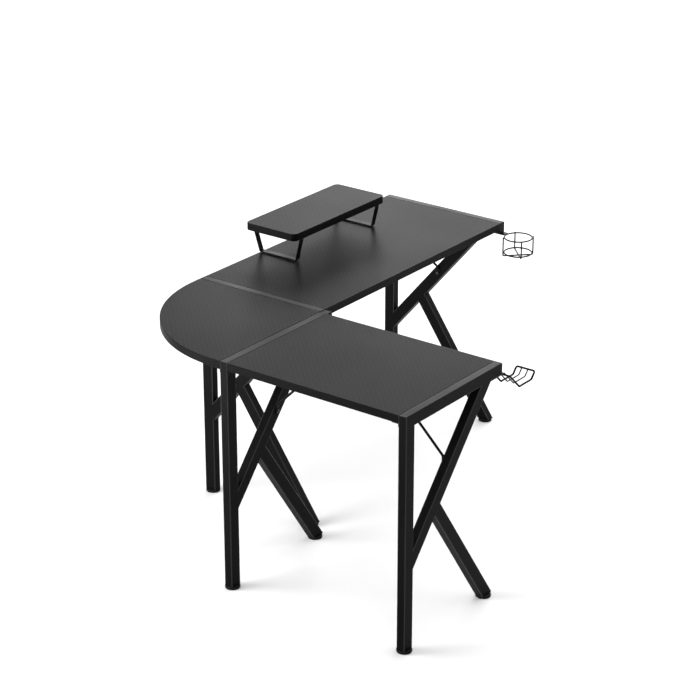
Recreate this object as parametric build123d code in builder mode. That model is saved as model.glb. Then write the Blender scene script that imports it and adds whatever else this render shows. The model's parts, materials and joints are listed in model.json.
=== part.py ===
from build123d import *
import os
from math import atan2, cos, degrees, radians, sin

os.makedirs("parts", exist_ok=True)

# ---------------------------------------------------------------- driving dimensions, mm
# The desk is an L: a main wing along +X, a return wing along -Y and a quarter-round corner
# board between them. "s" runs along an end frame from its outer end to its inner end.
top_z = 750.0
wing_depth = 480.0
main_length = 1032.0          # inner corner of the L to the end of the main wing
return_length = 668.0         # inner corner of the L to the end of the return wing
board_thickness = 25.0
edging_thickness = 2.0
edging_round = 1.2
seam = 0.4                    # gap between a board and the end beam beside it
corner_radius = 455.0

# K-shaped end frames, welded from rectangular tube
tube_depth = 40.0             # in the plane of the frame
tube_width = 28.0             # along the wing
tube_wall = 1.5
tube_round = 2.5
beam_height = 37.0
brace_foot_z = 263.0          # underside of the brace where it meets the leg
brace_angle = 49.6
fork_s = 173.0                # upper face of the foot tube where it meets the brace
foot_tube_angle = -55.5
foot_gap = 10.0               # floor to the lower end of a tube
cap_thickness = 2.0
cap_plug_length = 10.0

# levelling feet
foot_disc_radius = 23.5
foot_disc_height = 9.7
foot_stem_radius = 4.0
foot_stem_top = 30.0
stem_clearance = 0.05
insert_top_z = 34.0

# ledges, rails, struts and fasteners
ledge_thickness = 3.0
ledge_flange = 25.0
ledge_length = 442.0
ledge_centre_s = 224.0
rail_width = 40.0
rail_height = 20.0
rail_end_gap = 30.0
rail_cap_thickness = 2.0
strut_rod_radius = 4.0
strut_tab_thickness = 3.0
strut_tab_width = 18.0
strut_tab_rise = 22.0         # bolt to the bend of the lower tab
strut_tab_length = 34.0
bolt_radius = 3.0
bolt_hole_radius = 3.3
bolt_length = 16.0
bolt_head_radius = 6.0
bolt_head_height = 3.6
nut_width = 10.0
nut_height = 5.0
screw_radius = 2.0
screw_length = 16.0
screw_head_radius = 4.0
screw_head_height = 2.4
rail_screw_length = 34.0
gusset_reach = 60.0
gusset_thickness = 3.0

# monitor shelf, standing loose on the main board
shelf_left = 270.0            # from the inner corner of the L
shelf_front = 308.0
shelf_length = 494.0
shelf_depth = 206.0
shelf_rise = 105.0            # desk top to shelf top
shelf_round = 18.0
strip_width = 20.0
strip_thickness = 3.0
strip_inset = 30.0
strip_bottom_front = 329.0
strip_bottom_back = 480.0
strip_top_front = 311.0
strip_top_back = 505.0
strip_flange = 26.0
strip_bend = 4.0
shelf_pad_thickness = 1.5
shelf_gap = 0.3               # pad to desk top, two separate bodies

# cup holder under the inner end of the main end beam
cup_wire_radius = 2.5
cup_ring_radius = 47.0
cup_centre_reach = 66.0       # beam's inner end to the ring's centre
cup_ring_drop = 54.0
cup_cradle_radius = 51.8
cup_plate_thickness = 3.0
cup_plate_width = 26.0
cup_plate_inboard = 56.0
weld = 0.5                    # welded pieces run into each other by this much

# hook rack under the inner end of the return end beam
hook_wire_radius = 3.0
hook_thin_radius = 2.0
hook_width = 64.0
hook_bend = 6.0
hook_plate_width = 24.0
hook_plate_inboard = 56.0
hook_rear_reach = 14.0
hook_seat_reach = 66.0
hook_seat_length = 65.5
hook_seat_drop = 56.0         # beam underside to the seat wires' axis
hook_lip_reach = 18.5
hook_lip_rise = 20.5

# ---------------------------------------------------------------- derived places
# The origin is on the floor under the centre of the whole desk's box.
left_reach = wing_depth - tube_depth / 2 + foot_disc_radius
right_reach = main_length - tube_width / 2 + cup_ring_radius + cup_wire_radius
front_reach = return_length - tube_width / 2 + hook_width / 2 + hook_wire_radius
back_reach = shelf_front + shelf_depth
corner_x = (left_reach - right_reach) / 2
corner_y = (front_reach - back_reach) / 2
board_bottom = top_z - board_thickness
beam_bottom = top_z - beam_height
ledge_top = board_bottom
rail_bottom = board_bottom - rail_height
up = (0, 0, 1)


def shifted(point, angle, distance):
    """The point moved by distance in the direction of angle."""
    return (point[0] + distance * cos(radians(angle)), point[1] + distance * sin(radians(angle)))


def meet(point_a, angle_a, point_b, angle_b):
    """Where the line through point_a at angle_a crosses the line through point_b at angle_b."""
    ax, ay = cos(radians(angle_a)), sin(radians(angle_a))
    bx, by = cos(radians(angle_b)), sin(radians(angle_b))
    along = ((point_b[0] - point_a[0]) * by - (point_b[1] - point_a[1]) * bx) / (ax * by - ay * bx)
    return (point_a[0] + along * ax, point_a[1] + along * ay)


def bar_outline(axis_point, angle, width, low_end, high_end):
    """Corners of a bar of the given width about its axis, cut along two end lines."""
    low_side = shifted(axis_point, angle - 90, width / 2)
    high_side = shifted(axis_point, angle + 90, width / 2)
    return [
        meet(low_side, angle, *low_end),
        meet(low_side, angle, *high_end),
        meet(high_side, angle, *high_end),
        meet(high_side, angle, *low_end),
    ]


def side_plane(x, y, direction):
    """Upright plane through (x, y, 0): local x along direction, local y up."""
    facing = Vector(*direction, 0).normalized()
    return Plane(origin=(x, y, 0), x_dir=facing, z_dir=facing.cross(Vector(*up)))


def seat_plane(x, y, z, normal):
    """Plane of a bolted face, with the bolt's head on the side of the normal."""
    return Plane(origin=(x, y, z), z_dir=normal)


# name: (x, y of the outer end at mid width, direction of s, directions with a board, strut direction)
end_frames = {
    "main_end": (
        (corner_x + main_length - tube_width / 2, corner_y + wing_depth),
        (0, -1), [(-1, 0)], (-1, 0),
    ),
    "corner_main": (
        (corner_x + tube_width / 2, corner_y + wing_depth),
        (0, -1), [(1, 0), (-1, 0)], (1, 0),
    ),
    "corner_return": (
        (corner_x - wing_depth, corner_y - tube_width / 2),
        (1, 0), [(0, -1), (0, 1)], (0, -1),
    ),
    "return_end": (
        (corner_x - wing_depth, corner_y - return_length + tube_width / 2),
        (1, 0), [(0, 1)], (0, 1),
    ),
}

# lines in the frame's own plane, each as (point, angle)
tube_foot_line = ((0, foot_gap), 0)
leg_inner_line = ((tube_depth, 0), 90)
beam_under_line = ((0, beam_bottom), 0)
mitre_line = ((0, top_z), degrees(atan2(-beam_height, tube_depth)))
beam_end_line = ((wing_depth - cap_thickness, 0), 90)
brace_low_point = (tube_depth, brace_foot_z)
brace_low_line = (brace_low_point, brace_angle)
brace_axis_point = shifted(brace_low_point, brace_angle + 90, tube_depth / 2)
fork_point = meet((fork_s, 0), 90, *brace_low_line)
foot_tube_axis_point = shifted(fork_point, foot_tube_angle - 90, tube_depth / 2)
foot_tube_s = meet(foot_tube_axis_point, foot_tube_angle, *tube_foot_line)[0]
strut_s = wing_depth / 2 - 12
strut_bolt_z = meet((strut_s, 0), 90, brace_axis_point, brace_angle)[1]

# name of each tube: (point on its axis, angle, height in the frame's plane, low end, high end)
frame_tubes = {
    "leg": ((tube_depth / 2, 0), 90, tube_depth, tube_foot_line, mitre_line),
    "beam": ((0, top_z - beam_height / 2), 0, beam_height, mitre_line, beam_end_line),
    "brace": (brace_axis_point, brace_angle, tube_depth, leg_inner_line, beam_under_line),
    "foot_tube": (foot_tube_axis_point, foot_tube_angle, tube_depth, brace_low_line, tube_foot_line),
}


def frame_point(name, s, across=0.0):
    """World x, y of the place s along a frame, offset across its width towards its strut."""
    (x, y), along, _, strut_side = end_frames[name]
    return (x + along[0] * s + strut_side[0] * across, y + along[1] * s + strut_side[1] * across)


# ---------------------------------------------------------------- where the bolts sit
strut_low_seats = {}
for name, (_, _, _, strut_side) in end_frames.items():
    tab_x, tab_y = frame_point(name, strut_s, tube_width / 2 + strut_tab_thickness)
    strut_low_seats[name] = seat_plane(tab_x, tab_y, strut_bolt_z, (*strut_side, 0))

strut_run = rail_bottom - strut_tab_thickness - strut_bolt_z - strut_tab_rise
strut_top_reach = tube_width / 2 + strut_tab_thickness + strut_run + strut_tab_length / 2
strut_high_seats = {}
for name in end_frames:
    top_x, top_y = frame_point(name, strut_s, strut_top_reach)
    strut_high_seats[name] = seat_plane(top_x, top_y, rail_bottom - strut_tab_thickness, (0, 0, -1))

gusset_bolt_reaches = (22.0, 47.0)
gusset_bolt_points = []
for reach in gusset_bolt_reaches:
    gusset_bolt_points.append((corner_x + tube_width / 2, corner_y + reach))
    gusset_bolt_points.append((corner_x - reach, corner_y - tube_width / 2))

accessory_bolt_reaches = (22.0, 47.0)
cup_axis_x = corner_x + main_length - tube_width / 2
hook_axis_y = corner_y - return_length + tube_width / 2
cup_bolt_points = [(cup_axis_x, corner_y + reach) for reach in accessory_bolt_reaches]
hook_bolt_points = [(corner_x - reach, hook_axis_y) for reach in accessory_bolt_reaches]
plate_seats = [
    seat_plane(x, y, beam_bottom - gusset_thickness, (0, 0, -1))
    for x, y in gusset_bolt_points + cup_bolt_points + hook_bolt_points
]
bolt_seats = [*strut_low_seats.values(), *strut_high_seats.values(), *plate_seats]


# ---------------------------------------------------------------- boards and their edging
def board_slab(corners, thickness, bottom_z):
    """A rectangular board between two opposite corners."""
    (x0, y0), (x1, y1) = corners
    with BuildPart() as slab:
        with BuildSketch(Plane.XY.offset(bottom_z)):
            with Locations(((x0 + x1) / 2, (y0 + y1) / 2)):
                Rectangle(x1 - x0, y1 - y0)
        extrude(amount=thickness)
    return slab


def strip_pair(strips):
    """Straight edging strips, their outer long edges rounded by the rule of the board."""
    with BuildPart() as pair:
        for (x0, y0), (x1, y1), axis in strips:
            with BuildSketch(Plane.XY.offset(board_bottom)):
                with Locations(((x0 + x1) / 2, (y0 + y1) / 2)):
                    Rectangle(x1 - x0, y1 - y0)
            extrude(amount=board_thickness)
        long_edges = pair.edges().filter_by(axis)
        outer = long_edges.group_by(Axis.Y if axis == Axis.X else Axis.X)
        fillet(outer[0] + outer[-1], edging_round)
    return pair


main_left = corner_x + tube_width + seam
main_right = corner_x + main_length - tube_width - seam
main_board = board_slab(
    (
        (main_left, corner_y + edging_thickness),
        (main_right, corner_y + wing_depth - edging_thickness),
    ),
    board_thickness, board_bottom,
)
main_board_edging = strip_pair([
    ((main_left, corner_y), (main_right, corner_y + edging_thickness), Axis.X),
    (
        (main_left, corner_y + wing_depth - edging_thickness),
        (main_right, corner_y + wing_depth),
        Axis.X,
    ),
])

return_front = corner_y - return_length + tube_width + seam
return_back = corner_y - tube_width - seam
return_board = board_slab(
    (
        (corner_x - wing_depth + edging_thickness, return_front),
        (corner_x - edging_thickness, return_back),
    ),
    board_thickness, board_bottom,
)
return_board_edging = strip_pair([
    (
        (corner_x - wing_depth, return_front),
        (corner_x - wing_depth + edging_thickness, return_back),
        Axis.Y,
    ),
    ((corner_x - edging_thickness, return_front), (corner_x, return_back), Axis.Y),
])


def corner_outline(inset):
    """Quarter-round outline of the corner board, its outer edge drawn in by inset."""
    left = corner_x - wing_depth + inset
    back = corner_y + wing_depth - inset
    radius = corner_radius - inset
    inner = (corner_x - seam, corner_y + seam)
    with BuildLine() as outline:
        Polyline((left, back - radius), (left, inner[1]), inner, (inner[0], back), (left + radius, back))
        RadiusArc((left, back - radius), (left + radius, back), radius)
    return outline


with BuildPart() as corner_board:
    with BuildSketch(Plane.XY.offset(board_bottom)):
        add(corner_outline(edging_thickness).line)
        make_face()
    extrude(amount=board_thickness)

with BuildPart() as corner_board_edging:
    with BuildSketch(Plane.XY.offset(board_bottom)):
        add(corner_outline(0).line)
        make_face()
    extrude(amount=board_thickness)
    outer_edges = corner_board_edging.edges().filter_by(GeomType.CIRCLE)
    fillet(outer_edges, edging_round)
    with BuildSketch(Plane.XY.offset(board_bottom)):
        add(corner_outline(edging_thickness).line)
        make_face()
    extrude(amount=board_thickness, mode=Mode.SUBTRACT)

shelf_centre = (
    corner_x + shelf_left + shelf_length / 2,
    corner_y + shelf_front + shelf_depth / 2,
)
shelf_bottom = top_z + shelf_rise - board_thickness

with BuildPart() as shelf_board:
    with BuildSketch(Plane.XY.offset(shelf_bottom)):
        with Locations(shelf_centre):
            RectangleRounded(
                shelf_length - 2 * edging_thickness,
                shelf_depth - 2 * edging_thickness,
                shelf_round - edging_thickness,
            )
    extrude(amount=board_thickness)

with BuildPart() as shelf_edging:
    with BuildSketch(Plane.XY.offset(shelf_bottom)):
        with Locations(shelf_centre):
            RectangleRounded(shelf_length, shelf_depth, shelf_round)
    extrude(amount=board_thickness)
    rims = shelf_edging.faces().sort_by(Axis.Z)
    fillet(rims[0].edges() + rims[-1].edges(), edging_round)
    with BuildSketch(Plane.XY.offset(shelf_bottom)):
        with Locations(shelf_centre):
            RectangleRounded(
                shelf_length - 2 * edging_thickness,
                shelf_depth - 2 * edging_thickness,
                shelf_round - edging_thickness,
            )
    extrude(amount=board_thickness, mode=Mode.SUBTRACT)


# ---------------------------------------------------------------- K-shaped end frames
def tube(plane, axis_point, angle, height, low_end, high_end):
    """A rectangular tube in a frame's plane, its ends cut along two lines and left open."""
    outline = bar_outline(axis_point, angle, height, low_end, high_end)
    bore = bar_outline(axis_point, angle, height - 2 * tube_wall, low_end, high_end)
    run = plane.from_local_coords(Vector(cos(radians(angle)), sin(radians(angle)), 0))
    direction = (run - plane.origin).normalized()
    with BuildPart() as bar:
        with BuildSketch(plane):
            with BuildLine():
                Polyline(*outline, close=True)
            make_face()
        extrude(amount=tube_width / 2, both=True)
        long_edges = bar.edges().filter_by(lambda edge: abs(edge.tangent_at(0.5).dot(direction)) > 0.999)
        fillet(long_edges, tube_round)
        with BuildSketch(plane):
            with BuildLine():
                Polyline(*bore, close=True)
            make_face()
        extrude(amount=tube_width / 2 - tube_wall, both=True, mode=Mode.SUBTRACT)
    return bar


def drilled(bar, seats):
    """The bar with a bolt hole through its outer wall at each seat."""
    with BuildPart() as result:
        add(bar.part)
        with Locations(*seats):
            Hole(bolt_hole_radius, depth=strut_tab_thickness + tube_wall + 1)
    return result


frame_parts = {}
for frame_name, ((outer_x, outer_y), along, _, _) in end_frames.items():
    plane = side_plane(outer_x, outer_y, along)
    for tube_name, shape in frame_tubes.items():
        frame_parts[f"{frame_name}_{tube_name}"] = tube(plane, *shape)

for frame_name, seat in strut_low_seats.items():
    brace_name = f"{frame_name}_brace"
    frame_parts[brace_name] = drilled(frame_parts[brace_name], [seat])

beam_seats = {
    "main_end_beam": cup_bolt_points,
    "corner_main_beam": gusset_bolt_points[0::2],
    "corner_return_beam": gusset_bolt_points[1::2],
    "return_end_beam": hook_bolt_points,
}
for beam_name, points in beam_seats.items():
    seats = [seat_plane(x, y, beam_bottom - gusset_thickness, (0, 0, -1)) for x, y in points]
    frame_parts[beam_name] = drilled(frame_parts[beam_name], seats)

with BuildPart() as beam_end_caps:
    for (outer_x, outer_y), along, _, _ in end_frames.values():
        end = side_plane(outer_x, outer_y, along)
        end_x = outer_x + along[0] * wing_depth
        end_y = outer_y + along[1] * wing_depth
        face = Plane(
            origin=(end_x, end_y, top_z - beam_height / 2),
            x_dir=end.z_dir,
            z_dir=(*along, 0),
        )
        with BuildSketch(face):
            RectangleRounded(tube_width, beam_height, tube_round)
        extrude(amount=-cap_thickness)
        with BuildSketch(face.offset(-cap_thickness)):
            Rectangle(tube_width - 2 * tube_wall, beam_height - 2 * tube_wall)
        extrude(amount=-cap_plug_length)

# ---------------------------------------------------------------- ledges that carry the boards
ledge_section = [
    (0, ledge_top),
    (ledge_flange, ledge_top),
    (ledge_flange, ledge_top - ledge_thickness),
    (ledge_thickness, ledge_top - ledge_thickness),
    (ledge_thickness, beam_bottom),
    (0, beam_bottom),
]
ledge_screw_places = (64.0, ledge_centre_s, 384.0)
ledge_screw_points = []
with BuildPart() as board_ledges:
    for (outer_x, outer_y), along, board_sides, _ in end_frames.values():
        for side in board_sides:
            face_x = outer_x + side[0] * tube_width / 2
            face_y = outer_y + side[1] * tube_width / 2
            middle = side_plane(
                face_x + along[0] * ledge_centre_s,
                face_y + along[1] * ledge_centre_s,
                side,
            )
            with BuildSketch(middle):
                with BuildLine():
                    Polyline(*ledge_section, close=True)
                make_face()
            extrude(amount=ledge_length / 2, both=True)
            reach = (ledge_flange + ledge_thickness) / 2
            for place in ledge_screw_places:
                ledge_screw_points.append((
                    face_x + side[0] * reach + along[0] * place,
                    face_y + side[1] * reach + along[1] * place,
                ))
    with Locations(*[(x, y, ledge_top) for x, y in ledge_screw_points]):
        Hole(screw_radius + 0.2, depth=ledge_thickness)

# ---------------------------------------------------------------- rails under the two wings
main_rail_y = corner_y + wing_depth - strut_s
return_rail_x = corner_x - wing_depth + strut_s
main_rail_span = (main_left + rail_end_gap, main_right - rail_end_gap)
return_rail_span = (return_front + rail_end_gap, return_back - rail_end_gap)
rail_screw_inset = 40.0


def rail(span, offset, direction, seats):
    """A flat rectangular tube under a wing, open at both ends, with a hole at each bolt seat."""
    middle = (span[0] + span[1]) / 2
    length = span[1] - span[0] - 2 * rail_cap_thickness
    centre = (middle, offset) if direction == (1, 0) else (offset, middle)
    section = Plane(
        origin=(*centre, rail_bottom + rail_height / 2),
        x_dir=(-direction[1], direction[0], 0),
        z_dir=(*direction, 0),
    )
    with BuildPart() as bar:
        with BuildSketch(section):
            RectangleRounded(rail_width, rail_height, tube_round)
            Rectangle(rail_width - 2 * tube_wall, rail_height - 2 * tube_wall, mode=Mode.SUBTRACT)
        extrude(amount=length / 2, both=True)
        with Locations(*seats):
            Hole(bolt_hole_radius, depth=strut_tab_thickness + tube_wall + 1)
    return bar


def along_rail(span, share):
    """A place along a rail, from one screw end to the other."""
    low, high = span[0] + rail_screw_inset, span[1] - rail_screw_inset
    return low + share * (high - low)


rail_screw_shares = (0.0, 0.36, 0.64, 1.0)
rail_screw_points = {
    "main_rail": [(along_rail(main_rail_span, share), main_rail_y) for share in rail_screw_shares],
    "return_rail": [(return_rail_x, along_rail(return_rail_span, share)) for share in rail_screw_shares],
}


def screwed_rail(bar, points):
    """The rail with clearance holes for its screws through both walls."""
    with BuildPart() as result:
        add(bar.part)
        with Locations(*[(x, y, board_bottom) for x, y in points]):
            Hole(screw_radius + 0.2, depth=rail_height)
    return result


main_rail = screwed_rail(
    rail(
        main_rail_span, main_rail_y, (1, 0),
        [strut_high_seats["main_end"], strut_high_seats["corner_main"]],
    ),
    rail_screw_points["main_rail"],
)
return_rail = screwed_rail(
    rail(
        return_rail_span, return_rail_x, (0, 1),
        [strut_high_seats["corner_return"], strut_high_seats["return_end"]],
    ),
    rail_screw_points["return_rail"],
)

with BuildPart() as rail_end_caps:
    for end_x, facing in ((main_rail_span[0], -1), (main_rail_span[1], 1)):
        cap_face = Plane(
            origin=(end_x, main_rail_y, rail_bottom + rail_height / 2),
            x_dir=(0, 1, 0),
            z_dir=(facing, 0, 0),
        )
        with BuildSketch(cap_face):
            RectangleRounded(rail_width, rail_height, tube_round)
        extrude(amount=-rail_cap_thickness)
        with BuildSketch(cap_face.offset(-rail_cap_thickness)):
            Rectangle(rail_width - 2 * tube_wall, rail_height - 2 * tube_wall)
        extrude(amount=-cap_plug_length)
    for end_y, facing in ((return_rail_span[0], -1), (return_rail_span[1], 1)):
        cap_face = Plane(
            origin=(return_rail_x, end_y, rail_bottom + rail_height / 2),
            x_dir=(1, 0, 0),
            z_dir=(0, facing, 0),
        )
        with BuildSketch(cap_face):
            RectangleRounded(rail_width, rail_height, tube_round)
        extrude(amount=-rail_cap_thickness)
        with BuildSketch(cap_face.offset(-rail_cap_thickness)):
            Rectangle(rail_width - 2 * tube_wall, rail_height - 2 * tube_wall)
        extrude(amount=-cap_plug_length)


# ---------------------------------------------------------------- struts from brace to rail
def strut(name):
    """A round rod with two flattened, bent ends, one bolted to a brace and one to a rail."""
    side = end_frames[name][3]
    plane = side_plane(*frame_point(name, strut_s, tube_width / 2), side)
    half = strut_tab_thickness / 2
    bend = (strut_rod_radius, strut_bolt_z + strut_tab_rise)
    top = (bend[0] + strut_run, rail_bottom - strut_rod_radius)
    tab_end = (top[0] + strut_tab_length, rail_bottom - half)
    with BuildPart() as rod:
        with BuildSketch(plane):
            with Locations((half, strut_bolt_z + strut_tab_rise / 2 - 5)):
                Rectangle(strut_tab_thickness, strut_tab_rise + 12)
            with Locations((top[0] + strut_tab_length / 2 - 3, tab_end[1])):
                Rectangle(strut_tab_length + 8, strut_tab_thickness)
        extrude(amount=strut_tab_width / 2, both=True)
        run = plane.from_local_coords(Vector(*bend, 0))
        finish = plane.from_local_coords(Vector(*top, 0))
        with BuildSketch(Plane(origin=run, z_dir=finish - run)):
            Circle(strut_rod_radius)
        extrude(amount=(finish - run).length)
        with Locations(run, finish):
            Sphere(strut_rod_radius)
        low_seat = strut_low_seats[name]
        high_seat = strut_high_seats[name]
        with Locations(low_seat, high_seat):
            Hole(bolt_hole_radius, depth=2 * strut_tab_thickness)
    return rod


struts = {f"{name}_strut": strut(name) for name in end_frames}

# ---------------------------------------------------------------- corner gusset under two beams
with BuildPart() as corner_gusset:
    with BuildSketch(Plane.XY.offset(beam_bottom - gusset_thickness)):
        with BuildLine():
            Polyline(
                (corner_x + tube_width, corner_y + gusset_reach - 4),
                (corner_x + tube_width, corner_y),
                (corner_x, corner_y - tube_width),
                (corner_x - gusset_reach + 4, corner_y - tube_width),
                close=True,
            )
        make_face()
    extrude(amount=gusset_thickness)
    with Locations(*[(x, y, beam_bottom) for x, y in gusset_bolt_points]):
        Hole(bolt_hole_radius, depth=gusset_thickness)

# ---------------------------------------------------------------- bolts, nuts and screws
with BuildPart() as m6_bolt:
    with BuildSketch():
        Circle(bolt_head_radius)
    extrude(amount=bolt_head_height)
    fillet(m6_bolt.edges().sort_by(Axis.Z)[-1], 2.2)
    with BuildSketch(Plane.XY.offset(bolt_head_height)):
        RegularPolygon(2.3, 6)
    extrude(amount=-2.0, mode=Mode.SUBTRACT)
    with BuildSketch():
        Circle(bolt_radius)
    extrude(amount=-bolt_length)

with BuildPart() as m6_bolts:
    with Locations(*bolt_seats):
        add(m6_bolt.part)

with BuildPart() as weld_nuts:
    for seat in bolt_seats:
        with BuildSketch(seat.offset(-strut_tab_thickness - tube_wall)):
            RegularPolygon(nut_width / 2, 6, major_radius=False)
            Circle(bolt_radius, mode=Mode.SUBTRACT)
        extrude(amount=-nut_height)


def wood_screws(points, seat_z, length):
    """Pan-head screws driven upwards, their heads under seat_z."""
    with BuildPart() as screws:
        for x, y in points:
            with BuildSketch(Plane.XY.offset(seat_z)):
                with Locations((x, y)):
                    Circle(screw_radius)
            extrude(amount=length)
            with BuildSketch(Plane.XY.offset(seat_z)):
                with Locations((x, y)):
                    Circle(screw_head_radius)
            extrude(amount=-screw_head_height)
    return screws


ledge_screws = wood_screws(ledge_screw_points, ledge_top - ledge_thickness, screw_length)
rail_screws = wood_screws(
    rail_screw_points["main_rail"] + rail_screw_points["return_rail"],
    rail_bottom, rail_screw_length,
)


def with_pilots(board, points, seat_z, length):
    """The board with a blind pilot hole for each screw that reaches into it."""
    with BuildPart() as result:
        add(board.part)
        for x, y in points:
            if result.part.bounding_box().min.X < x < result.part.bounding_box().max.X:
                if result.part.bounding_box().min.Y < y < result.part.bounding_box().max.Y:
                    with BuildSketch(Plane.XY.offset(seat_z)):
                        with Locations((x, y)):
                            Circle(screw_radius)
                    extrude(amount=length, mode=Mode.SUBTRACT)
    return result


main_board = with_pilots(main_board, ledge_screw_points, ledge_top - ledge_thickness, screw_length)
main_board = with_pilots(main_board, rail_screw_points["main_rail"], rail_bottom, rail_screw_length)
return_board = with_pilots(return_board, ledge_screw_points, ledge_top - ledge_thickness, screw_length)
return_board = with_pilots(
    return_board, rail_screw_points["return_rail"], rail_bottom, rail_screw_length
)
corner_board = with_pilots(corner_board, ledge_screw_points, ledge_top - ledge_thickness, screw_length)

# ---------------------------------------------------------------- levelling feet and inserts
feet_places = {}
for frame_name in end_frames:
    feet_places[f"{frame_name}_outer"] = frame_point(frame_name, tube_depth / 2)
    feet_places[f"{frame_name}_inner"] = frame_point(frame_name, foot_tube_s)


def levelling_foot(x, y):
    """A plastic glide moulded on a threaded stem."""
    axis = Axis((x, y, 0), up)
    with BuildPart() as foot:
        with BuildSketch(side_plane(x, y, (1, 0))):
            with BuildLine():
                Polyline(
                    (0, 0),
                    (foot_disc_radius - 2, 0),
                    (foot_disc_radius, 2),
                    (foot_disc_radius, foot_disc_height - 2.5),
                    (foot_disc_radius - 2.5, foot_disc_height),
                    (foot_stem_radius, foot_disc_height),
                    (foot_stem_radius, foot_stem_top),
                    (0, foot_stem_top),
                    close=True,
                )
            make_face()
        revolve(axis=axis)
    return foot


with BuildPart() as foot_inserts:
    for frame_name, ((outer_x, outer_y), along, _, _) in end_frames.items():
        plane = side_plane(outer_x, outer_y, along)
        for tube_name in ("leg", "foot_tube"):
            axis_point, angle, height, low_end, high_end = frame_tubes[tube_name]
            bottom, top = tube_foot_line, ((0, insert_top_z), 0)
            outline = bar_outline(axis_point, angle, height - 2 * tube_wall, bottom, top)
            with BuildSketch(plane):
                with BuildLine():
                    Polyline(*outline, close=True)
                make_face()
            extrude(amount=tube_width / 2 - tube_wall, both=True)
    with Locations(*[(x, y, foot_gap) for x, y in feet_places.values()]):
        Cylinder(
            foot_stem_radius + stem_clearance,
            foot_stem_top - foot_gap + 1,
            align=(Align.CENTER, Align.CENTER, Align.MIN),
            mode=Mode.SUBTRACT,
        )

# ---------------------------------------------------------------- monitor shelf's supports
pad_bottom = top_z + shelf_gap
strip_floor = pad_bottom + shelf_pad_thickness + strip_thickness / 2
strip_ceiling = shelf_bottom - strip_thickness / 2
strip_path = [
    (strip_top_front + strip_flange, strip_ceiling),
    (strip_top_front, strip_ceiling),
    (strip_bottom_front, strip_floor),
    (strip_bottom_back, strip_floor),
    (strip_top_back, strip_ceiling),
    (strip_top_back - strip_flange, strip_ceiling),
]
strip_centres = {
    "shelf_support_left": corner_x + shelf_left + strip_inset + strip_width / 2,
    "shelf_support_right": corner_x + shelf_left + shelf_length - strip_inset - strip_width / 2,
}
shelf_screw_inset = 16.0
shelf_screw_points = []
for centre_x in strip_centres.values():
    shelf_screw_points.append((centre_x, corner_y + strip_top_front + shelf_screw_inset))
    shelf_screw_points.append((centre_x, corner_y + strip_top_back - shelf_screw_inset))


def shelf_support(centre_x):
    """A flat steel strip bent into a tapering U with two flanges under the shelf."""
    with BuildPart() as strip:
        with BuildSketch(side_plane(centre_x, corner_y, (0, 1))):
            with BuildLine():
                FilletPolyline(*strip_path, radius=strip_bend)
            trace(line_width=strip_thickness)
        extrude(amount=strip_width / 2, both=True)
        holes = [(x, y, shelf_bottom) for x, y in shelf_screw_points if x == centre_x]
        with Locations(*holes):
            Hole(screw_radius + 0.2, depth=strip_thickness)
    return strip


shelf_supports = {name: shelf_support(centre_x) for name, centre_x in strip_centres.items()}

with BuildPart() as shelf_pads:
    for centre_x in strip_centres.values():
        for pad_y in (strip_bottom_front + 22, strip_bottom_back - 22):
            with BuildSketch(Plane.XY.offset(pad_bottom)):
                with Locations((centre_x, corner_y + pad_y)):
                    RectangleRounded(strip_width - 2, 30, 3)
            extrude(amount=shelf_pad_thickness)

shelf_screws = wood_screws(shelf_screw_points, shelf_bottom - strip_thickness, screw_length)
shelf_board = with_pilots(shelf_board, shelf_screw_points, shelf_bottom - strip_thickness, screw_length)

# ---------------------------------------------------------------- cup holder
cup_centre = (cup_axis_x, corner_y - cup_centre_reach)
cup_upper_z = beam_bottom - cup_wire_radius
cup_lower_z = cup_upper_z - cup_ring_drop
plate_bottom = beam_bottom - cup_plate_thickness

with BuildPart() as cup_holder_plate:
    plate_tip = cup_centre[1] + cup_ring_radius + cup_wire_radius - weld
    plate_end = corner_y + cup_plate_inboard
    with BuildSketch(Plane.XY.offset(plate_bottom)):
        with Locations((cup_axis_x, (plate_tip + plate_end) / 2)):
            Rectangle(cup_plate_width, plate_end - plate_tip)
    extrude(amount=cup_plate_thickness)
    with Locations(*[(x, y, beam_bottom) for x, y in cup_bolt_points]):
        Hole(bolt_hole_radius, depth=cup_plate_thickness)

with BuildPart() as cup_holder_rings:
    for ring_z in (cup_upper_z, cup_lower_z):
        with BuildSketch(side_plane(*cup_centre, (1, 0))):
            with Locations((cup_ring_radius, ring_z)):
                Circle(cup_wire_radius)
        revolve(axis=Axis((*cup_centre, 0), up))

cradle_base = cup_lower_z - 2 * cup_wire_radius + weld
with BuildPart() as cup_holder_cradle:
    for diagonal, base_z in (((1, 1), cradle_base), ((1, -1), cradle_base - 2 * cup_wire_radius)):
        upright = side_plane(*cup_centre, diagonal)
        with BuildLine(upright) as u_path:
            FilletPolyline(
                (-cup_cradle_radius, cup_upper_z + cup_wire_radius),
                (-cup_cradle_radius, base_z),
                (cup_cradle_radius, base_z),
                (cup_cradle_radius, cup_upper_z + cup_wire_radius),
                radius=5,
            )
        with BuildSketch(Plane(origin=u_path.line @ 0, z_dir=u_path.line % 0)):
            Circle(cup_wire_radius)
        sweep(path=u_path.line)

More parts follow.
